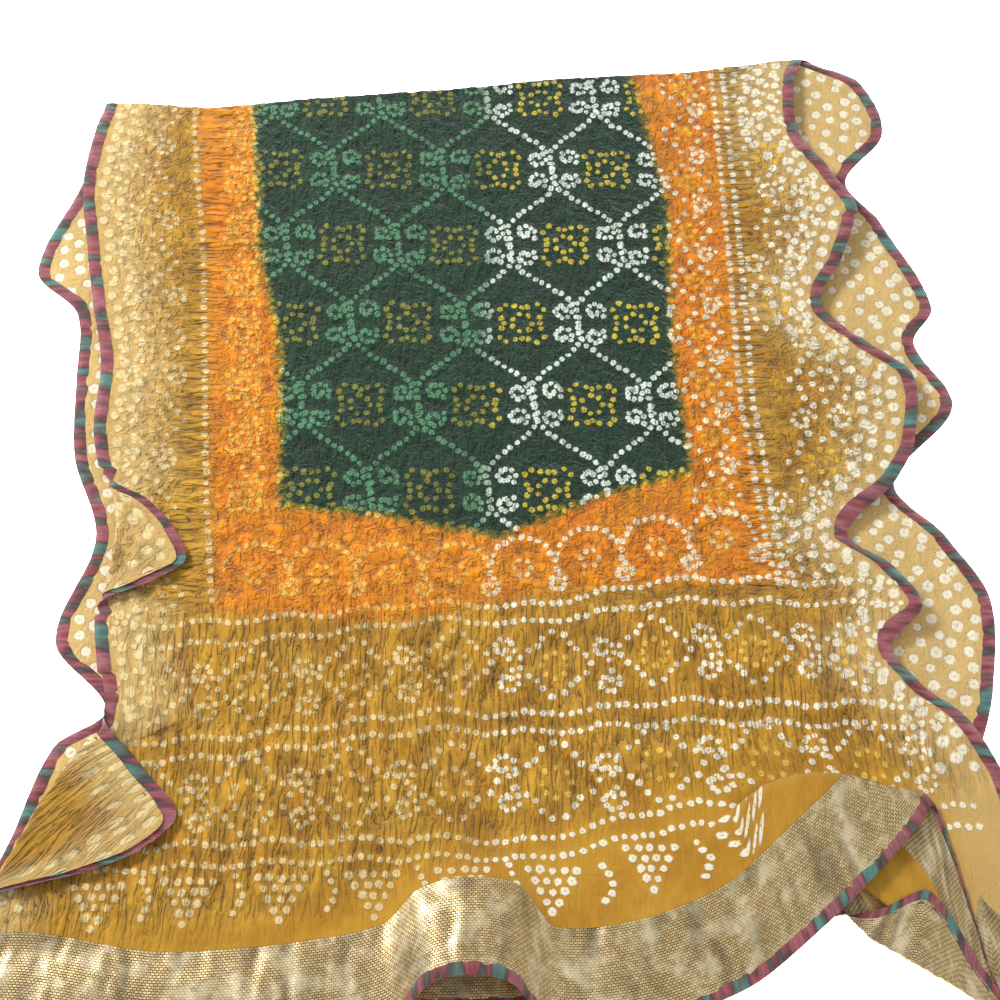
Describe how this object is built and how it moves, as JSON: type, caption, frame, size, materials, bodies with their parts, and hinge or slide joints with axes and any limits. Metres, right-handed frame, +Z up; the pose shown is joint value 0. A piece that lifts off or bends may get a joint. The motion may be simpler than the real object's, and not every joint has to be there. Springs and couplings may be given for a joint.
{
  "type": "tie-dyed dupatta",
  "caption": "Long crinkled tie-dyed shawl with woven end bands and a bound edge, folded once and laid flat, its edges in lobes and one end pleated.",
  "frame": {"origin": "centre of the bounding box, on the surface that the lower layer rests on", "axes": "+X across the cloth to its right edge, +Y towards the fold, +Z up from the surface"},
  "size_m": [0.8462, 0.8688, 0.0294],
  "materials": {
    "puckered_georgette": "crinkled, tie-dyed in mustard, orange and dark green with fine rings of white and yellow dots",
    "gold_zari": "woven metallic gold yarn on a brown ground",
    "striped_satin": "satin bias binding with rose, crimson and green cross stripes"
  },
  "bodies": {
    "root": {"cloth": "puckered_georgette", "band_top": "gold_zari", "band_under": "gold_zari", "binding_left": "striped_satin", "binding_right": "striped_satin", "binding_end_top": "striped_satin", "binding_end_under": "striped_satin"}
  },
  "joints": []
}
